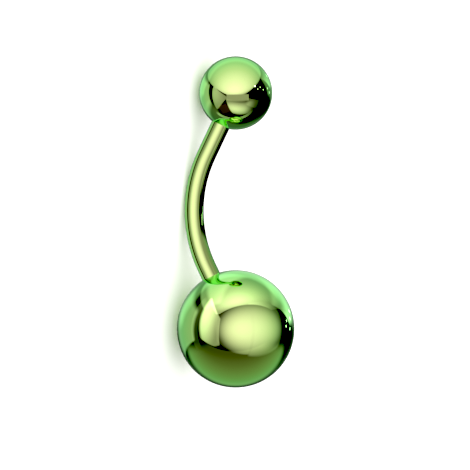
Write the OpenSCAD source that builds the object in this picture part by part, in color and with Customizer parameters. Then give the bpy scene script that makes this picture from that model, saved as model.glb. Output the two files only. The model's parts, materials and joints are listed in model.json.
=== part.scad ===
// Navel ring: a curved bar with a small and a large ball screwed onto its ends.
//
// It lies on a level surface as it would by itself: on both balls, with the bow of the bar down.
// Millimetres, +Z up. The origin is on that surface, below the middle of the ring's box.
// The large ball is at +X and the small one at -X, and the bow leans towards -Y.
//
// Each piece is drawn in the flat plane of the bend, with the centre of the bend at the
// origin and the bow towards -Y, and lay_down() then brings it to where it rests.

/* [Bar] */
// Diameter of the bar, 16 gauge
bar_d = 1.3; // [1.2:0.1:1.6]
// Radius of the bend, at the middle of the bar
bend_r = 9; // [8:0.5:12]
// Angle that the bend turns through
bend_angle = 50.4; // [44:0.2:56]
// Straight length from the bend to the small ball
top_run = 2.2; // [1.4:0.1:3]
// Straight length from the bend to the large ball
bottom_run = 0.7; // [0.5:0.1:3]
// Cut taken off the radius where each end is turned true, before its thread is cut
turned_off = 0.003; // [0.002:0.001:0.01]

/* [Balls] */
// Diameter of the small ball, above the navel when worn
top_ball_d = 5; // [4:0.5:6]
// Diameter of the large ball, in the navel when worn
bottom_ball_d = 8; // [7:0.5:10]

/* [Thread] */
// Outer diameter of the thread, M1.2
thread_d = 1.2; // [1:0.05:1.2]
// Distance from one ridge of the thread to the next
thread_pitch = 0.25; // [0.2:0.05:0.3]
// Height of a ridge
thread_depth = 0.15; // [0.1:0.01:0.18]
// Length of each threaded end, from its shoulder
thread_length = 2.2; // [1.6:0.1:2.4]
// Chamfer at the tip of each threaded end
tip_chamfer = 0.15; // [0.05:0.05:0.25]

/* [Fits] */
// Depth to which the shoulder sits in the mouth of a ball
seat_depth = 0.3; // [0.2:0.05:0.4]
// Clearance round the shoulder in its seat, on the radius
seat_gap = 0.02; // [0.01:0.01:0.05]
// Clearance between the shoulder and the floor of its seat
shoulder_gap = 0.03; // [0.01:0.01:0.05]
// Clearance round the thread in its hole, on the radius
thread_gap = 0.03; // [0.02:0.01:0.05]
// Free depth of the hole past the tip of the thread
tip_gap = 0.3; // [0.2:0.1:0.6]
// Angle across the drill point at the bottom of a hole
drill_angle = 118; // [90:1:140]

/* [Rest] */
// Clearance under the bow, for the little by which the heavy balls press into what they lie on
bow_gap = 0.05; // [0:0.01:0.1]

/* [Hidden] */
$fn = 96;

// Overlap of two bodies that are joined, and of a cut past its surface
bite = 0.05;
bar_r = bar_d / 2;
top_r = top_ball_d / 2;
bottom_r = bottom_ball_d / 2;
thread_r = thread_d / 2;
half_bend = bend_angle / 2;

// How far a ball's centre lies from the circle in which its surface meets the bar
function centre_depth(ball_r) = sqrt(ball_r * ball_r - bar_r * bar_r);
// A point on the straight line that runs on from one end of the bend.
// side is 1 at the large ball's end and -1 at the small ball's.
function past_bend(side, run) = [
    side * (bend_r * sin(half_bend) + run * cos(half_bend)),
    run * sin(half_bend) - bend_r * cos(half_bend)
];
top_centre = past_bend(-1, top_run + centre_depth(top_r));
bottom_centre = past_bend(1, bottom_run + centre_depth(bottom_r));

// The line between the two ball centres, and the centre of the bend as seen from it
chord_line = bottom_centre - top_centre;
chord = norm(chord_line);
chord_turn = atan2(chord_line.y, chord_line.x);
bend_along = -top_centre.x * cos(chord_turn) - top_centre.y * sin(chord_turn);
bend_off = top_centre.x * sin(chord_turn) - top_centre.y * cos(chord_turn);

// Both balls touch the surface, so the line between their centres rises by this angle
rise = asin((bottom_r - top_r) / chord);
// The bow leans over until it comes down to it too. Its lowest point is at the height
//   bow_gap + low_a + low_b * c - bend_r * sqrt(sin(rise)^2 + cos(rise)^2 * c^2), where c = cos(lean),
// and that height is bow_gap at the c below. A bow too flat to reach the surface hangs straight down.
low_a = top_r + bend_along * sin(rise) - bar_r - bow_gap;
low_b = bend_off * cos(rise);
quad_a = pow(low_b, 2) - pow(bend_r * cos(rise), 2);
quad_b = 2 * low_a * low_b;
quad_c = pow(low_a, 2) - pow(bend_r * sin(rise), 2);
lean = acos(min(1, (-quad_b - sqrt(quad_b * quad_b - 4 * quad_a * quad_c)) / (2 * quad_a)));
// The middle of the ring's box is at x = 0
top_x = -(chord * cos(rise) + bottom_r - top_r) / 2;

// Depth of the hole in a ball, from the circle in which its surface meets the bar
hole_depth = seat_depth + thread_length + tip_gap;
// Whole ridges that fit between the shoulder and the chamfered tip
ridges = floor((thread_length - tip_chamfer) / thread_pitch);
root_r = thread_r - thread_depth;
// Share of the pitch at which a ridge's flank meets its flat crest
crest_start = 0.4;
crest_end = 0.6;

module lay_down() {
    translate([top_x, 0, top_r])
        rotate([0, -rise, 0])
            rotate([90 - lean, 0, 0])
                rotate([0, 0, -chord_turn])
                    translate([-top_centre.x, -top_centre.y, 0])
                        children();
}

// Puts +Z along the bar's end, outwards, with the origin at the end of the bend
module at_end(side) {
    translate(concat(past_bend(side, 0), 0))
        rotate([0, side * 90, side * half_bend])
            children();
}

// One ridge after another, as a thread cut across looks, on a core that ends in a chamfered tip
module thread() {
    outline = concat(
        [[0, -bite], [root_r, -bite]],
        [for (i = [0 : ridges - 1], step = [[0, 0], [crest_start, 1], [crest_end, 1]])
            [root_r + step[1] * thread_depth, (i + step[0]) * thread_pitch]],
        [[root_r, ridges * thread_pitch], [root_r, thread_length - tip_chamfer],
         [root_r - tip_chamfer, thread_length], [0, thread_length]]
    );
    rotate_extrude()
        polygon(outline);
}

// The straight stretch past the bend, with its shoulder and thread
module bar_end(side, run) {
    at_end(side) {
        translate([0, 0, -bite])
            cylinder(r = bar_r - turned_off, h = run + seat_depth + bite);
        translate([0, 0, run + seat_depth])
            thread();
    }
}

module bar() {
    color("#a9cf6a")
        lay_down()
            union() {
                rotate([0, 0, -90 - half_bend])
                    rotate_extrude(angle = bend_angle)
                        translate([bend_r, 0])
                            circle(r = bar_r);
                bar_end(1, bottom_run);
                bar_end(-1, top_run);
            }
}

// A ball on one end of the bar. Its hole is plain, at the outer diameter of the thread.
module ball(side, run, ball_r) {
    lay_down()
        at_end(side)
            difference() {
                translate([0, 0, run + centre_depth(ball_r)])
                    sphere(r = ball_r);
                translate([0, 0, run - ball_r])
                    cylinder(r = bar_r + seat_gap, h = ball_r + seat_depth + shoulder_gap);
                translate([0, 0, run])
                    cylinder(r = thread_r + thread_gap, h = hole_depth);
                translate([0, 0, run + hole_depth - bite])
                    cylinder(r1 = thread_r + thread_gap, r2 = 0,
                             h = (thread_r + thread_gap) / tan(drill_angle / 2));
            }
}

module top_ball() {
    color("#b5d877")
        ball(-1, top_run, top_r);
}

module bottom_ball() {
    color("#9fc860")
        ball(1, bottom_run, bottom_r);
}

bar();
top_ball();
bottom_ball();
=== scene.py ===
"""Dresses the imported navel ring: a curved bar of green-coated steel with a screwed ball on each end.

The two balls and the bar are turned and bent here again as smooth, polished pieces around the
frame, with the threads that the frame's simpler solids only stand for. Metres, +Z up, in the
frame's own axes.
"""

import json
import math
from typing import NamedTuple

import bmesh
import bpy
from bpy.props import FloatProperty, FloatVectorProperty, IntProperty, PointerProperty
from mathutils import Matrix, Vector


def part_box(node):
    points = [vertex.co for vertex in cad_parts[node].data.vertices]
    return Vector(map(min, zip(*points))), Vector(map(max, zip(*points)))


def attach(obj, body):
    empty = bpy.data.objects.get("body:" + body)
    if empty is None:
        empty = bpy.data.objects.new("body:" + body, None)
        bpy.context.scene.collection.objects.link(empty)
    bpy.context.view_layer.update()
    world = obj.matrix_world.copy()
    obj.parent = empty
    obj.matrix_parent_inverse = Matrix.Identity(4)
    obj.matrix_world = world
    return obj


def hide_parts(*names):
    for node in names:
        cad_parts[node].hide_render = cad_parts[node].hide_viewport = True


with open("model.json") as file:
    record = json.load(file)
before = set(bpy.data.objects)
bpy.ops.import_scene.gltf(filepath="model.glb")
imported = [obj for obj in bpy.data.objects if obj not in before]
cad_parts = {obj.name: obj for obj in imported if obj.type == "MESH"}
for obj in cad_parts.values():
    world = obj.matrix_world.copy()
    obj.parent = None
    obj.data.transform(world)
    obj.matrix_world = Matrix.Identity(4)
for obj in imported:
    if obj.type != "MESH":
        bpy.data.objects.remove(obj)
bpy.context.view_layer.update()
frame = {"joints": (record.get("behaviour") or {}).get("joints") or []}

bl_info = {
    "name": "Navel Ring",
    "version": (1, 0, 0),
    "blender": (4, 5, 0),
    "location": "3D View > Sidebar > Ring",
    "description": "Builds a curved navel ring with two screwed balls, and a stage to show it on",
    "category": "Add Mesh",
}

MM = 0.001
# Faces that meet at less than this angle show as one smooth surface
SMOOTH_UP_TO = math.radians(32)


def linear(hex_colour):
    """Turns an sRGB hex colour into linear red, green and blue."""
    shares = [int(hex_colour[i:i + 2], 16) / 255 for i in (1, 3, 5)]
    return tuple(c / 12.92 if c <= 0.04045 else ((c + 0.055) / 1.055) ** 2.4 for c in shares)


def length(name, description, millimetres):
    """Makes a property for a length of the ring, with its default in millimetres."""
    return FloatProperty(
        name=name,
        description=description,
        default=millimetres * MM,
        min=0,
        precision=6,
        unit="LENGTH",
    )


def colour(name, description, hex_colour):
    """Makes a property for a colour, with its default as sRGB hex."""
    return FloatVectorProperty(
        name=name,
        description=description,
        default=linear(hex_colour),
        min=0,
        max=1,
        size=3,
        subtype="COLOR",
    )


# Sizes and colours that a user would change


class RingSizes(bpy.types.PropertyGroup):
    """Sizes of the bar, its threads and the fits between the pieces."""

    bar_d: length("Bar diameter", "Diameter of the bar, 16 gauge", 1.3)
    bend_r: length("Bend radius", "Radius of the bend, at the middle of the bar", 9)
    top_run: length("Small end", "Straight length from the bend to the small ball", 2.2)
    bottom_run: length("Large end", "Straight length from the bend to the large ball", 0.7)
    thread_d: length("Thread diameter", "Outer diameter of the thread", 1.2)
    thread_pitch: length("Pitch", "Distance from one turn of the thread to the next", 0.25)
    thread_depth: length("Thread depth", "Height of the thread's ridge", 0.15)
    thread_length: length("Thread length", "Length of each threaded end", 2.2)
    tip_chamfer: length("Tip chamfer", "Chamfer at the tip of each threaded end", 0.15)
    seat_depth: length("Seat depth", "Depth to which the shoulder sits in a ball", 0.3)
    seat_gap: length("Seat gap", "Clearance round the shoulder in its seat", 0.02)
    shoulder_gap: length("Shoulder gap", "Clearance between the shoulder and its seat", 0.03)
    thread_gap: length("Thread gap", "Clearance round the thread in its hole", 0.03)
    tip_gap: length("Tip gap", "Free depth of the hole past the thread", 0.3)
    mouth_break: length("Mouth edge", "Rounding of the edge round a ball's hole", 0.015)
    shoulder_break: length("Shoulder edge", "Rounding of the edge of the bar's shoulder", 0.04)
    drill_angle: FloatProperty(
        name="Drill angle",
        description="Angle across the point of the drill that made the holes",
        default=math.radians(118),
        subtype="ANGLE",
    )
    segments: IntProperty(
        name="Segments",
        description="Faces round the bar",
        default=96,
        min=24,
        max=160,
    )


class CoatingLook(bpy.types.PropertyGroup):
    """Colours of the coating and the polish under it."""

    at_0: colour("At 0°", "Colour where the coating is seen straight on", "#F0FFB0")
    at_40: colour("At 40°", "Colour where the coating is seen 40° off straight", "#C8F094")
    at_65: colour("At 65°", "Colour where the coating is seen 65° off straight", "#9CF48A")
    at_90: colour("At 90°", "Colour where the coating is seen edge-on", "#84FF80")
    roughness: FloatProperty(
        name="Polish",
        description="Roughness of the mirror polish",
        default=0.02,
        min=0,
        max=1,
        subtype="FACTOR",
    )


class StudioLook(bpy.types.PropertyGroup):
    """Floor, daylight and camera."""

    floor: colour("Floor", "Colour of the plain floor", "#F4F4F2")
    daylight: FloatProperty(
        name="Daylight",
        description="Strength of the even white light on the floor",
        default=1.8,
        min=0,
    )
    camera_distance: length("Camera distance", "From the middle of the picture", 250)
    picture_width: length("Picture width", "Width that the picture takes in", 31.97)
    picture_drop: length("Picture drop", "How far the picture's middle lies below the ring's", 1.639)
    picture_left: length("Picture left", "How far the picture's middle lies left of the balls'", 0.0456)
    black_level: FloatProperty(
        name="Black level",
        description="Light that the picture shows as black",
        default=0.036,
        min=0,
        max=0.5,
    )


# Places that the frame gives


class RingEnd(NamedTuple):
    """One straight end of the bar, with the ball on it."""

    ball_centre: Vector
    ball_r: float
    axis: Vector
    run: float


def ring_end(node, run):
    """Reads a ball's place from the frame, and the way that it screws off."""
    low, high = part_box(node)
    joint = next(j for j in frame["joints"] if j["child"] == node)
    return RingEnd((low + high) / 2, max(high - low) / 2, Vector(joint["axis"]).normalized(), run)


def ring_ends(sizes):
    """The small ball's end and the large ball's end."""
    return ring_end("top_ball", sizes.top_run), ring_end("bottom_ball", sizes.bottom_run)


def mouth_depth(end, bar_r):
    """How far a ball's centre lies from the circle in which its surface meets the bar."""
    return math.sqrt(end.ball_r ** 2 - bar_r ** 2)


def end_matrix(end, bar_r):
    """Puts +Z along an end of the bar, outwards, with the origin in the ball's mouth."""
    mouth = end.ball_centre - end.axis * mouth_depth(end, bar_r)
    turn = end.axis.to_track_quat("Z", "Y").to_matrix().to_4x4()
    return Matrix.Translation(mouth) @ turn


def picture_axes(sizes):
    """Right, up and towards the camera, in the photographed view: straight at the bend's plane."""
    small, large = ring_ends(sizes)
    up = (small.ball_centre - large.ball_centre).normalized()
    towards = small.axis.cross(large.axis).normalized()
    towards = -towards if towards.y > 0 else towards
    return up.cross(towards), up, towards


# Node and mesh helpers


def add_node(tree, kind, settings=None, inputs=None):
    """Adds a node with its settings, and with a value or a link for each of its inputs."""
    node = tree.nodes.new(kind)
    for name, value in (settings or {}).items():
        setattr(node, name, value)
    for socket, value in (inputs or {}).items():
        if isinstance(value, bpy.types.NodeSocket):
            tree.links.new(value, node.inputs[socket])
        else:
            node.inputs[socket].default_value = value
    return node


def finish_piece(name, mesh_maker, node, material):
    """Makes a piece of the ring from its bmesh, to ride where a frame node does and stand for it."""
    bmesh.ops.recalc_face_normals(mesh_maker, faces=mesh_maker.faces)
    for face in mesh_maker.faces:
        face.smooth = True
    for edge in mesh_maker.edges:
        edge.smooth = edge.calc_face_angle(0) < SMOOTH_UP_TO
    mesh = bpy.data.meshes.new(name)
    mesh_maker.to_mesh(mesh)
    mesh_maker.free()
    mesh.materials.append(material)
    piece = bpy.data.objects.new(name, mesh)
    bpy.context.scene.collection.objects.link(piece)
    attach(piece, node)
    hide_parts(node)
    return piece


# Materials


def coated_steel():
    """Surgical steel, mirror-polished, under a green interference coating of titanium oxide.

    The bare polish mirrors everything sharply, and the coating gives the mirrored light its
    colour: yellow-green where it is seen straight on and mint green where it is seen at a slant,
    because the light's way through it gets longer.
    """
    found = bpy.data.materials.get("interference_coated_polished_steel")
    if found:
        return found
    look = bpy.context.scene.coating_look
    material = bpy.data.materials.new("interference_coated_polished_steel")
    material.use_nodes = True
    tree = material.node_tree
    tree.nodes.clear()
    place = add_node(tree, "ShaderNodeTexCoord").outputs["Object"]

    # The coating is a few nanometres thicker here and thinner there, in patches, which shifts its
    # colour as a small change of slant does
    patch_size = 3 * MM
    largest_shift = 0.012
    patches = add_node(tree, "ShaderNodeTexNoise", inputs={
        "Vector": place,
        "Scale": 1 / patch_size,
        "Detail": 2.0,
    })
    slant = add_node(tree, "ShaderNodeLayerWeight", inputs={"Blend": 0.5})
    shift = add_node(tree, "ShaderNodeMapRange", inputs={
        "Value": patches.outputs["Fac"],
        "To Min": -largest_shift,
        "To Max": largest_shift,
    })
    film = add_node(tree, "ShaderNodeMath", {"operation": "ADD", "use_clamp": True}, {
        0: slant.outputs["Facing"],
        1: shift.outputs["Result"],
    })
    ramp = add_node(tree, "ShaderNodeValToRGB", inputs={"Fac": film.outputs[0]})
    stops = ramp.color_ramp.elements
    for slope, shade in ((0, look.at_0), (40, look.at_40), (65, look.at_65), (90, look.at_90)):
        position = 1 - math.cos(math.radians(slope))
        stop = stops[0] if slope == 0 else stops[-1] if slope == 90 else stops.new(position)
        stop.position = position
        stop.color = (*shade, 1)

    # Marks of the polishing wheel that show only as a breath of haze
    mark_spacing = 0.08 * MM
    marks = add_node(tree, "ShaderNodeTexNoise", inputs={
        "Vector": place,
        "Scale": 1 / mark_spacing,
        "Detail": 3.0,
    })
    haze = add_node(tree, "ShaderNodeMapRange", inputs={
        "Value": marks.outputs["Fac"],
        "From Min": 0.3,
        "From Max": 0.7,
        "To Min": look.roughness,
        "To Max": look.roughness * 2,
    })

    # The polish leaves the faintest of ripples
    ripple_width = 1 * MM
    ripple_height = 0.01 * MM
    ripples = add_node(tree, "ShaderNodeTexNoise", inputs={
        "Vector": place,
        "Scale": 1 / ripple_width,
        "Detail": 0.0,
    })
    bump = add_node(tree, "ShaderNodeBump", inputs={
        "Strength": 0.1,
        "Distance": ripple_height,
        "Height": ripples.outputs["Fac"],
    })
    shader = add_node(tree, "ShaderNodeBsdfPrincipled", inputs={
        "Base Color": ramp.outputs["Color"],
        "Metallic": 1.0,
        "Roughness": haze.outputs["Result"],
        "Normal": bump.outputs["Normal"],
    })
    add_node(tree, "ShaderNodeOutputMaterial", inputs={"Surface": shader.outputs["BSDF"]})
    return material


def matt_floor():
    """Sprayed matt board: even, pale and without gloss, with a hardly visible grain."""
    look = bpy.context.scene.studio_look
    material = bpy.data.materials.new("sprayed_matt_board")
    material.use_nodes = True
    tree = material.node_tree
    tree.nodes.clear()
    place = add_node(tree, "ShaderNodeTexCoord").outputs["Object"]
    grain_width = 0.4 * MM
    grain_height = 0.02 * MM
    grain = add_node(tree, "ShaderNodeTexNoise", inputs={"Vector": place, "Scale": 1 / grain_width})
    bump = add_node(tree, "ShaderNodeBump", inputs={
        "Strength": 0.05,
        "Distance": grain_height,
        "Height": grain.outputs["Fac"],
    })
    shader = add_node(tree, "ShaderNodeBsdfDiffuse", inputs={
        "Color": (*look.floor, 1),
        "Roughness": 0.4,
        "Normal": bump.outputs["Normal"],
    })
    add_node(tree, "ShaderNodeOutputMaterial", inputs={"Surface": shader.outputs["BSDF"]})
    return material


# Pieces


def tapped_hole(sizes):
    """Outline of a ball's hole as (radius, depth): the seat, the tapped thread and the drill point."""
    seat_r = sizes.bar_d / 2 + sizes.seat_gap
    hole_r = sizes.thread_d / 2 + sizes.thread_gap
    seat_floor = sizes.seat_depth + sizes.shoulder_gap
    bottom = sizes.seat_depth + sizes.thread_length + sizes.tip_gap
    point = bottom + hole_r / math.tan(sizes.drill_angle / 2)
    outline = [(0.0, point), (hole_r, bottom)]
    # The turns stop one pitch short of each end, and are cut into the wall of the hole. Each is
    # outlined in shares of the pitch and of the cut's depth
    groove = ((0.0, 0.0), (0.4, 1.0), (0.6, 1.0), (1.0, 0.0))
    cut_depth = sizes.thread_depth / 4
    turns = int((bottom - seat_floor) / sizes.thread_pitch) - 2
    first = bottom - sizes.thread_pitch
    for turn in range(turns):
        for share, cut in groove:
            depth = first - (turn + share) * sizes.thread_pitch
            outline.append((hole_r + cut * cut_depth, depth))
    return outline + [(hole_r, seat_floor), (seat_r, seat_floor)]


def turn_ball(end):
    """Turns a ball about the axis of the bar's end, with its seat, its tapped hole and its mouth."""
    sizes = bpy.context.scene.ring_sizes
    bar_r = sizes.bar_d / 2
    seat_r = bar_r + sizes.seat_gap
    depth = mouth_depth(end, bar_r)
    mouth_angle = math.asin(seat_r / end.ball_r)
    rings = 96
    outline = tapped_hole(sizes)
    for step in range(rings + 1):
        angle = mouth_angle + (math.pi - mouth_angle) * step / rings
        radius = end.ball_r * math.sin(angle) if step < rings else 0.0
        outline.append((radius, depth - end.ball_r * math.cos(angle)))
    maker = bmesh.new()
    points = [maker.verts.new((radius, 0, along)) for radius, along in outline]
    for first, second in zip(points, points[1:]):
        maker.edges.new((first, second))
    bmesh.ops.spin(
        maker,
        geom=maker.verts[:] + maker.edges[:],
        cent=(0, 0, 0),
        axis=(0, 0, 1),
        dvec=(0, 0, 0),
        angle=math.tau,
        steps=2 * rings,
        use_merge=True,
    )
    same_place = 0.0001 * MM
    bmesh.ops.remove_doubles(maker, verts=maker.verts, dist=same_place)
    bmesh.ops.recalc_face_normals(maker, faces=maker.faces)
    # Near the mouth, only its own edge turns by more than this, in radians
    sharp = 1.0
    mouth = [
        edge for edge in maker.edges
        if edge.calc_face_angle(0) > sharp
        and all(vert.co.z < sizes.seat_depth / 2 for vert in edge.verts)
    ]
    bmesh.ops.bevel(
        maker,
        geom=mouth,
        offset=sizes.mouth_break,
        offset_type="OFFSET",
        segments=3,
        profile=0.5,
        affect="EDGES",
        clamp_overlap=True,
        material=-1,
    )
    bmesh.ops.transform(maker, matrix=end_matrix(end, bar_r), verts=maker.verts)
    return maker


class RING_OT_balls(bpy.types.Operator):
    """Turn the small and the large ball, each with its seat and its tapped hole"""

    bl_idname = "ring.balls"
    bl_label = "Balls"

    def execute(self, context):
        for node, end in zip(("top_ball", "bottom_ball"), ring_ends(context.scene.ring_sizes)):
            finish_piece("polished_" + node, turn_ball(end), node, coated_steel())
        return {"FINISHED"}


def thread_ridge(phase):
    """Height of the thread at a share of its pitch, from 0 in the root to 1 on the crest."""
    # The flanks rise from this far to each side of the ridge's middle, towards a peak above the
    # crest, which cuts them off
    flank_foot = 0.4
    peak = 1.25
    return max(0.0, min(1.0, peak - abs(phase % 1 - 0.5) / flank_foot * peak))


def end_radius(sizes, run, along, angle):
    """Radius of a straight end of the bar at a length from the bend, and an angle round it."""
    bar_r = sizes.bar_d / 2
    past_shoulder = along - run - sizes.seat_depth
    if past_shoulder <= 0:
        inset = max(0.0, sizes.shoulder_break + past_shoulder)
        return bar_r - sizes.shoulder_break + math.sqrt(sizes.shoulder_break ** 2 - inset ** 2)
    crest = sizes.thread_d / 2
    root = crest - sizes.thread_depth
    # The thread grows out of the neck over half a pitch, and the chamfer cuts it off at the tip
    growth = min(1.0, past_shoulder / sizes.thread_pitch * 2)
    ridge = thread_ridge(past_shoulder / sizes.thread_pitch - angle / math.tau)
    to_tip = sizes.thread_length - past_shoulder
    chamfered = crest - sizes.tip_chamfer * 2 + to_tip
    return min(root + growth * ridge * sizes.thread_depth, max(chamfered, root - sizes.tip_chamfer))


def end_lengths(sizes, run):
    """Lengths from the bend at which a straight end of the bar gets a ring of points."""
    shoulder = run + sizes.seat_depth
    straight_rings = 12
    break_rings = 4
    rings_per_turn = 10
    lengths = [(shoulder - sizes.shoulder_break) * i / straight_rings
               for i in range(1, straight_rings + 1)]
    for i in range(1, break_rings + 1):
        share = math.sin(math.pi / 2 * i / break_rings)
        lengths.append(shoulder - sizes.shoulder_break * (1 - share))
    turns = sizes.thread_length / sizes.thread_pitch
    steps = round(turns * rings_per_turn)
    tiny = 0.001 * MM
    lengths += [shoulder + tiny + (sizes.thread_length - tiny) * i / steps for i in range(steps + 1)]
    return lengths


def draw_out_end(maker, rim, foot, axis, sizes, run):
    """Draws the bend's rim out into a straight end, with its shoulder, thread and closed tip."""
    side = axis.orthogonal().normalized()
    across = axis.cross(side)
    for along in end_lengths(sizes, run):
        made = bmesh.ops.extrude_edge_only(maker, edges=rim)["geom"]
        rim = [part for part in made if isinstance(part, bmesh.types.BMEdge)]
        for point in {vert for edge in rim for vert in edge.verts}:
            radial = point.co - foot
            radial = (radial - axis * radial.dot(axis)).normalized()
            angle = math.atan2(radial.dot(across), radial.dot(side))
            point.co = foot + axis * along + radial * end_radius(sizes, run, along, angle)
    bmesh.ops.contextual_create(maker, geom=rim)


class RING_OT_bar(bpy.types.Operator):
    """Bend the bar, and give each of its straight ends a shoulder and a thread"""

    bl_idname = "ring.bar"
    bl_label = "Bar"

    def execute(self, context):
        sizes = context.scene.ring_sizes
        bar_r = sizes.bar_d / 2
        small, large = ring_ends(sizes)
        feet = [
            end.ball_centre - end.axis * (mouth_depth(end, bar_r) + end.run)
            for end in (small, large)
        ]
        plane_normal = small.axis.cross(large.axis).normalized()
        inwards = small.axis.cross(plane_normal)
        if inwards.dot(feet[1] - feet[0]) < 0:
            inwards = -inwards
        bend_centre = feet[0] + inwards * sizes.bend_r
        bend_angle = math.pi - small.axis.angle(large.axis)
        if plane_normal.cross(feet[0] - bend_centre).dot(small.axis) > 0:
            plane_normal = -plane_normal
        maker = bmesh.new()
        turn = small.axis.to_track_quat("Z", "Y").to_matrix().to_4x4()
        bmesh.ops.create_circle(
            maker,
            cap_ends=False,
            segments=sizes.segments,
            radius=bar_r,
            matrix=Matrix.Translation(feet[0]) @ turn,
        )
        first_rim = maker.edges[:]
        bend_rings = 144
        spun = bmesh.ops.spin(
            maker,
            geom=maker.verts[:] + maker.edges[:],
            cent=bend_centre,
            axis=plane_normal,
            dvec=(0, 0, 0),
            angle=bend_angle,
            steps=bend_rings,
            use_merge=False,
        )
        last_rim = [part for part in spun["geom_last"] if isinstance(part, bmesh.types.BMEdge)]
        last_points = {vert for edge in last_rim for vert in edge.verts}
        middle = sum((vert.co for vert in last_points), Vector()) / len(last_points)
        tolerance = 0.01 * MM
        if (middle - feet[1]).length > tolerance:
            raise RuntimeError(f"the bend ends at {middle}, and not at {feet[1]}")
        draw_out_end(maker, first_rim, feet[0], small.axis, sizes, small.run)
        draw_out_end(maker, last_rim, feet[1], large.axis, sizes, large.run)
        finish_piece("polished_bar", maker, "bar", coated_steel())
        return {"FINISHED"}


# Stage


class Softbox(NamedTuple):
    """A softbox as the piece that mirrors it sees it.

    left and right are its sides in degrees to the right of the camera, and lower and upper in
    degrees up from it. Its light, of the given colour, is as strong as glow at hot, and from there
    it falls over reach to the share dim. soft says how far it fades inwards from the left, right,
    lower and upper side, down to the share rim at the frame. Each of its flags, (first, second,
    softness), hangs in front of it and hides what is to the right of the way from the first (turn,
    rise) place to the second. hot, reach, soft and softness are in shares of the box's half width
    and half height, with the middle at 0.
    """

    name: str
    left: float
    right: float
    lower: float
    upper: float
    glow: float
    hot: tuple = (0, 0)
    reach: float = 2
    dim: float = 1
    soft: tuple = (0.02, 0.02, 0.02, 0.02)
    rim: float = 0
    flags: tuple = ()
    colour: str = "#FFFFFF"


def glints(places, half_size, glow):
    """Small bare lamps, all alike, at (turn, rise) places."""
    return tuple(
        Softbox(f"glint_{number}", turn - half_size, turn + half_size,
                rise - half_size, rise + half_size, glow)
        for number, (turn, rise) in enumerate(places, 1)
    )


SOFTBOX_DISTANCE = 200 * MM
# Each softbox of a set hangs this much behind the one before, for of two in one plane only one shows
SOFTBOX_STEP = 1 * MM

# The large ball mirrors two boxes in front, with a gap between them. Towards it their lower edges
# fall and their upper edges rise
FRONT_PAIR = Softbox("front", -40, 104, -53, 56, 1.1, hot=(-0.1, 0), reach=1, dim=0.15,
                     soft=(0.9, 0.3, 0.2, 0.3), rim=0.25)

# The softboxes that each piece mirrors
LARGE_BALL_SET = (
    FRONT_PAIR._replace(name="front_left", flags=(
        ((30, -60), (30, 60), 0.05), ((-28, -37), (25, -47), 0.08), ((15, 46), (-33, 28), 0.08))),
    FRONT_PAIR._replace(name="front_right", flags=(
        ((39, 60), (39, -60), 0.05), ((60, -48), (96, -32), 0.08), ((95, 35), (60, 47), 0.1))),
    Softbox("left", -79, -31, -33, 55, 1.7, hot=(-0.5, 0.5), reach=1.6, dim=0.2,
            soft=(0.4, 0.1, 0.15, 0.05),
            flags=(((-31, 17), (-82, 52), 0.08), ((-75, -12), (-50, -28), 0.08))),
    Softbox("gap", -97, -79, -30, 50, 0.2, hot=(0, 1), reach=1.5, dim=0.4,
            soft=(0.02, 0.02, 0.3, 0.3)),
    Softbox("wall", -160, -86, -20, 34, 0.55, soft=(0.6, 0.3, 0.15, 0.4)),
    Softbox("over", -45, 95, 47, 174, 1.4, hot=(-0.1, -0.6), reach=0.7, dim=0.35,
            soft=(0.15, 0.6, 0.1, 0.6), rim=0.2, flags=(((-82, 52), (-31, 17), 0.08),)),
    Softbox("far", -165, -75, 38, 85, 0.45, soft=(0.5, 0.3, 0.2, 0.5)),
    Softbox("behind", 130, 240, -5, 60, 0.35, soft=(0.5, 0.5, 0.5, 0.5)),
    Softbox("streak", 100, 165, 0, 45, 1.6, hot=(-0.2, -0.8), reach=1, dim=0.15,
            soft=(0.1, 0.5, 0.3, 0.5), flags=(((103, 30), (133, 3), 0.1),)),
    Softbox("back", 140, 220, -40, 20, 0.1, soft=(0.6, 0.6, 0.6, 0.6)),
    Softbox("table", -73, 70, -155, -41, 0.5, hot=(0, -0.8), reach=1.6, dim=0.2,
            soft=(0.5, 0.5, 0.5, 0.15), rim=0.05, colour="#FFFFEA"),
) + glints(((117, 2), (121, 7), (133, -1), (139, 6), (147, 9)), half_size=1.1, glow=5)

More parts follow.
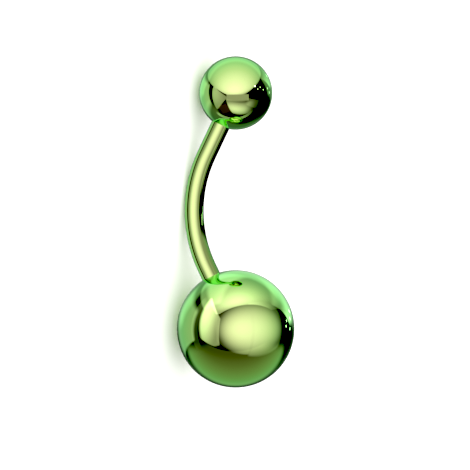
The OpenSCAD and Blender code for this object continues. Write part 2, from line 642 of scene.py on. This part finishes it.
SMALL_BALL_SET = (
    Softbox("over", -82, 72, -8, 150, 1.2, hot=(0, -0.4), reach=1, dim=0.35,
            soft=(0.5, 0.6, 0.2, 0.35),
            flags=(((-75, 17), (-20, -10), 0.1), ((30, -4), (62, 18), 0.1))),
    Softbox("front", -30, 64, -75, -24, 0.95, hot=(-0.2, -0.2), reach=1, dim=0.3,
            soft=(0.05, 0.8, 0.3, 0.5), flags=(((-30, -28), (-14, -70), 0.1),)),
    Softbox("between", -30, 43, -32, -4, 0.35, soft=(0.1, 0.1, 0.6, 0.3)),
    Softbox("left", -80, -30, -45, 18, 0.6, hot=(-0.6, 0.4), reach=1.6, dim=0.5,
            soft=(0.1, 0.1, 0.1, 0.2),
            flags=(((-28, -14), (-70, 13), 0.08), ((-75, -40), (-45, -27), 0.1))),
    Softbox("wall", -160, -90, -35, 24, 0.6, soft=(0.5, 0.2, 0.6, 0.3)),
    Softbox("behind", 110, 250, -10, 75, 0.3, soft=(0.4, 0.4, 0.4, 0.6)),
    Softbox("back", 140, 220, -40, 20, 0.1, soft=(0.6, 0.6, 0.6, 0.6)),
    Softbox("low_behind", 150, 270, -75, -15, 0.17, soft=(0.6, 0.6, 0.5, 0.5)),
    Softbox("streak", 105, 165, 5, 40, 0.7, hot=(-0.2, -0.6), reach=1.1, dim=0.3,
            soft=(0.2, 0.5, 0.3, 0.8), flags=(((108, 28), (140, 6), 0.1),)),
    Softbox("right", 38, 90, -42, -17, 0.25, hot=(-1, 0), reach=2, dim=0.3,
            soft=(0.6, 0.6, 0.4, 0.1)),
    Softbox("table", -55, 40, -97, -84, 0.4, soft=(0.3, 0.8, 0.3, 0.3)),
    Softbox("brown", -70, -35, -65, -32, 0.08, soft=(0.3, 0.3, 0.3, 0.3), colour="#FFC8A0"),
    Softbox("lamp", 62, 68, 15, 19, 4),
) + glints(((74, 9), (85, 13), (97, 7), (121, 8), (131, 2), (151, 17)), half_size=1.5, glow=2)

BAR_SET = (
    Softbox("front", -80, 66, -65, 65, 1.1, hot=(-0.05, 0), reach=0.45, dim=0.3,
            soft=(0.2, 0.3, 0.1, 0.1)),
    Softbox("wall", -160, -90, -50, 60, 0.6, soft=(0.4, 0.3, 0.1, 0.1)),
    Softbox("right_top", 60, 150, 8, 50, 0.35, soft=(0.3, 0.3, 0.3, 0.3)),
    Softbox("right", 52, 88, -50, -5, 0.25, soft=(0.3, 0.3, 0.3, 0.3)),
    # Only the bar's picture in the balls mirrors these two
    Softbox("above", -60, 60, 30, 150, 0.7, soft=(0.5, 0.5, 0.5, 0.5)),
    Softbox("below", -60, 60, -150, -30, 0.7, soft=(0.5, 0.5, 0.5, 0.5)),
) + glints(((98, 4), (120, 3), (128, 1)), half_size=2.5, glow=1.5)


def outwards_at(turn, rise, axes):
    """The direction that is turned right of the camera and raised from it by these angles."""
    right, up, towards = axes
    turn, rise = math.radians(turn), math.radians(rise)
    level = right * math.sin(turn) + towards * math.cos(turn)
    return level * math.cos(rise) + up * math.sin(rise)


def flag_edge(flag, facing, distance, half_size, axes):
    """Edge of a flag in shares of the softbox: the way out across it, and its place along that."""
    shares = []
    for turn, rise in flag[:2]:
        seen = facing.transposed() @ outwards_at(turn, rise, axes)
        shares.append(Vector((
            seen.x / seen.z * distance / half_size[0],
            seen.y / seen.z * distance / half_size[1],
        )))
    way = (shares[1] - shares[0]).normalized()
    out = Vector((way.y, -way.x))
    return out, shares[0].dot(out)


def softbox_shader(light, softbox, half_size, flag_edges):
    """Gives a light the uneven glow, the soft sides and the frame of a softbox."""
    light.use_nodes = True
    tree = light.node_tree
    tree.nodes.clear()
    place = add_node(tree, "ShaderNodeTexCoord").outputs["Object"]
    share = add_node(tree, "ShaderNodeVectorMath", {"operation": "MULTIPLY"}, {
        0: place,
        1: (1 / half_size[0], 1 / half_size[1], 0),
    }).outputs["Vector"]
    axes = add_node(tree, "ShaderNodeSeparateXYZ", inputs={"Vector": share}).outputs

    # The sides: where the light of each begins, and where it is full
    left, right, lower, upper = softbox.soft
    sides = (
        (axes["X"], -1, left - 1),
        (axes["X"], 1, 1 - right),
        (axes["Y"], -1, lower - 1),
        (axes["Y"], 1, 1 - upper),
    )
    strength = None
    for across, begins, full in sides:
        side = add_node(tree, "ShaderNodeMapRange", {"interpolation_type": "SMOOTHSTEP"}, {
            "Value": across,
            "From Min": begins,
            "From Max": full,
        }).outputs["Result"]
        if strength is None:
            strength = side
        else:
            strength = add_node(tree, "ShaderNodeMath", {"operation": "MULTIPLY"}, {
                0: strength,
                1: side,
            }).outputs[0]
    strength = add_node(tree, "ShaderNodeMath", {"operation": "MULTIPLY_ADD"}, {
        0: strength,
        1: 1 - softbox.rim,
        2: softbox.rim,
    }).outputs[0]

    # The fall from the hottest place, the frame, and the flags
    from_hot = add_node(tree, "ShaderNodeVectorMath", {"operation": "DISTANCE"}, {
        0: share,
        1: (*softbox.hot, 0),
    }).outputs["Value"]
    inwards = add_node(tree, "ShaderNodeVectorMath", {"operation": "ABSOLUTE"}, {0: share})
    inward_axes = add_node(tree, "ShaderNodeSeparateXYZ", inputs={
        "Vector": inwards.outputs["Vector"],
    }).outputs
    outermost = add_node(tree, "ShaderNodeMath", {"operation": "MAXIMUM"}, {
        0: inward_axes["X"],
        1: inward_axes["Y"],
    }).outputs[0]
    frame_width = 0.02
    masks = [
        (from_hot, 0, softbox.reach, 1, softbox.dim),
        (outermost, 1 - frame_width, 1, 1, 0),
    ]
    for (out, edge_place), softness in flag_edges:
        towards_flag = add_node(tree, "ShaderNodeVectorMath", {"operation": "DOT_PRODUCT"}, {
            0: share,
            1: (*out, 0),
        }).outputs["Value"]
        masks.append((towards_flag, edge_place, edge_place + softness, 1, 0))
    for value, start, end, share_before, share_after in masks:
        mask = add_node(tree, "ShaderNodeMapRange", {"interpolation_type": "SMOOTHSTEP"}, {
            "Value": value,
            "From Min": start,
            "From Max": end,
            "To Min": share_before,
            "To Max": share_after,
        }).outputs["Result"]
        strength = add_node(tree, "ShaderNodeMath", {"operation": "MULTIPLY"}, {
            0: strength,
            1: mask,
        }).outputs[0]
    emission = add_node(tree, "ShaderNodeEmission", inputs={
        "Color": (*linear(softbox.colour), 1),
        "Strength": strength,
    })
    add_node(tree, "ShaderNodeOutputLight", inputs={"Surface": emission.outputs["Emission"]})


def hang_softbox(piece, softbox, distance, axes, lit):
    """Hangs a softbox that lights one piece of the ring alone."""
    # These two corners of a piece's box are the lowest and the highest
    low, high = (Vector(piece.bound_box[corner]) for corner in (0, 6))
    turn = (softbox.left + softbox.right) / 2
    outwards = outwards_at(turn, (softbox.lower + softbox.upper) / 2, axes)
    level = outwards_at(turn + 90, 0, axes)
    facing = Matrix((level, outwards.cross(level), outwards)).transposed()
    half_size = [
        distance * math.tan(math.radians(angle / 2))
        for angle in (softbox.right - softbox.left, softbox.upper - softbox.lower)
    ]
    light = bpy.data.lights.new(f"softbox_{piece.name}_{softbox.name}", "AREA")
    light.shape = "RECTANGLE"
    light.size, light.size_y = (2 * half for half in half_size)
    light.energy = softbox.glow * math.pi * light.size * light.size_y
    flag_edges = [
        (flag_edge(flag, facing, distance, half_size, axes), flag[2]) for flag in softbox.flags
    ]
    softbox_shader(light, softbox, half_size, flag_edges)
    stand = bpy.data.objects.new(light.name, light)
    place = facing.to_4x4()
    place.translation = (low + high) / 2 + outwards * distance
    stand.matrix_world = place
    stand.visible_camera = False
    stand.light_linking.receiver_collection = lit
    bpy.context.scene.collection.objects.link(stand)


def lay_floor():
    """Lays the plain floor, which carries shadows but isn't mirrored."""
    half_width = 4.0
    maker = bmesh.new()
    bmesh.ops.create_grid(maker, x_segments=1, y_segments=1, size=half_width)
    mesh = bpy.data.meshes.new("floor")
    maker.to_mesh(mesh)
    maker.free()
    mesh.materials.append(matt_floor())
    floor = bpy.data.objects.new("floor", mesh)
    bpy.context.scene.collection.objects.link(floor)
    floor.visible_glossy = False
    floor.visible_shadow = False


def light_floor():
    """Lights the floor evenly from all round. The pieces don't mirror this light."""
    world = bpy.data.worlds.new("even_daylight")
    bpy.context.scene.world = world
    world.use_nodes = True
    sky = world.node_tree.nodes["Background"]
    sky.inputs["Color"].default_value = (1, 1, 1, 1)
    sky.inputs["Strength"].default_value = bpy.context.scene.studio_look.daylight
    world.cycles_visibility.glossy = False


def place_camera(sizes, axes):
    """Puts the camera at the photograph's angle: straight at the bend's plane, from above the floor."""
    look = bpy.context.scene.studio_look
    right, up, towards = axes
    small, large = ring_ends(sizes)
    middle = (small.ball_centre + large.ball_centre) / 2
    middle -= up * look.picture_drop + right * look.picture_left
    lens = bpy.data.cameras.new("camera")
    lens.sensor_width = 36
    lens.lens = lens.sensor_width * look.camera_distance / look.picture_width
    lens.clip_start = 10 * MM
    camera = bpy.data.objects.new("camera", lens)
    place = Matrix((right, up, towards)).transposed().to_4x4()
    place.translation = middle + towards * look.camera_distance
    camera.matrix_world = place
    bpy.context.scene.collection.objects.link(camera)
    bpy.context.scene.camera = camera


def develop_picture():
    """Shows colours as they are, with the darkest light as black, as the photograph does."""
    view = bpy.context.scene.view_settings
    view.view_transform = "Standard"
    view.use_curve_mapping = True
    view.curve_mapping.black_level = [bpy.context.scene.studio_look.black_level] * 3
    view.curve_mapping.update()


class RING_OT_stage(bpy.types.Operator):
    """Lay the floor, hang the softboxes and place the camera"""

    bl_idname = "ring.stage"
    bl_label = "Stage"

    def execute(self, context):
        sizes = context.scene.ring_sizes
        axes = picture_axes(sizes)
        lay_floor()
        light_floor()
        sets = {
            "polished_bottom_ball": LARGE_BALL_SET,
            "polished_top_ball": SMALL_BALL_SET,
            "polished_bar": BAR_SET,
        }
        for name, softboxes in sets.items():
            piece = bpy.data.objects[name]
            lit = bpy.data.collections.new("lit_" + name)
            lit.objects.link(piece)
            for number, softbox in enumerate(softboxes):
                hang_softbox(piece, softbox, SOFTBOX_DISTANCE + number * SOFTBOX_STEP, axes, lit)
        place_camera(sizes, axes)
        develop_picture()
        return {"FINISHED"}


class RING_PT_panel(bpy.types.Panel):
    """The ring's pieces and settings in the 3D view's sidebar"""

    bl_idname = "RING_PT_panel"
    bl_label = "Navel Ring"
    bl_space_type = "VIEW_3D"
    bl_region_type = "UI"
    bl_category = "Ring"

    def draw(self, context):
        layout = self.layout
        for operator in OPERATORS:
            layout.operator(operator.bl_idname)
        for name in SETTINGS:
            box = layout.box()
            settings = getattr(context.scene, name)
            for prop in settings.bl_rna.properties:
                if prop.identifier not in ("rna_type", "name"):
                    box.prop(settings, prop.identifier)


SETTINGS = {"ring_sizes": RingSizes, "coating_look": CoatingLook, "studio_look": StudioLook}
OPERATORS = (RING_OT_balls, RING_OT_bar, RING_OT_stage)
CLASSES = (*SETTINGS.values(), *OPERATORS, RING_PT_panel)


def register():
    """Registers the settings, the operators and the panel."""
    for cls in CLASSES:
        bpy.utils.register_class(cls)
    for name, cls in SETTINGS.items():
        setattr(bpy.types.Scene, name, PointerProperty(type=cls))


def unregister():
    """Takes the panel, the operators and the settings out again."""
    for name in SETTINGS:
        delattr(bpy.types.Scene, name)
    for cls in reversed(CLASSES):
        bpy.utils.unregister_class(cls)


def main():
    """Builds the ring and its stage."""
    register()
    bpy.ops.ring.balls()
    bpy.ops.ring.bar()
    bpy.ops.ring.stage()


if __name__ == "__main__":
    main()
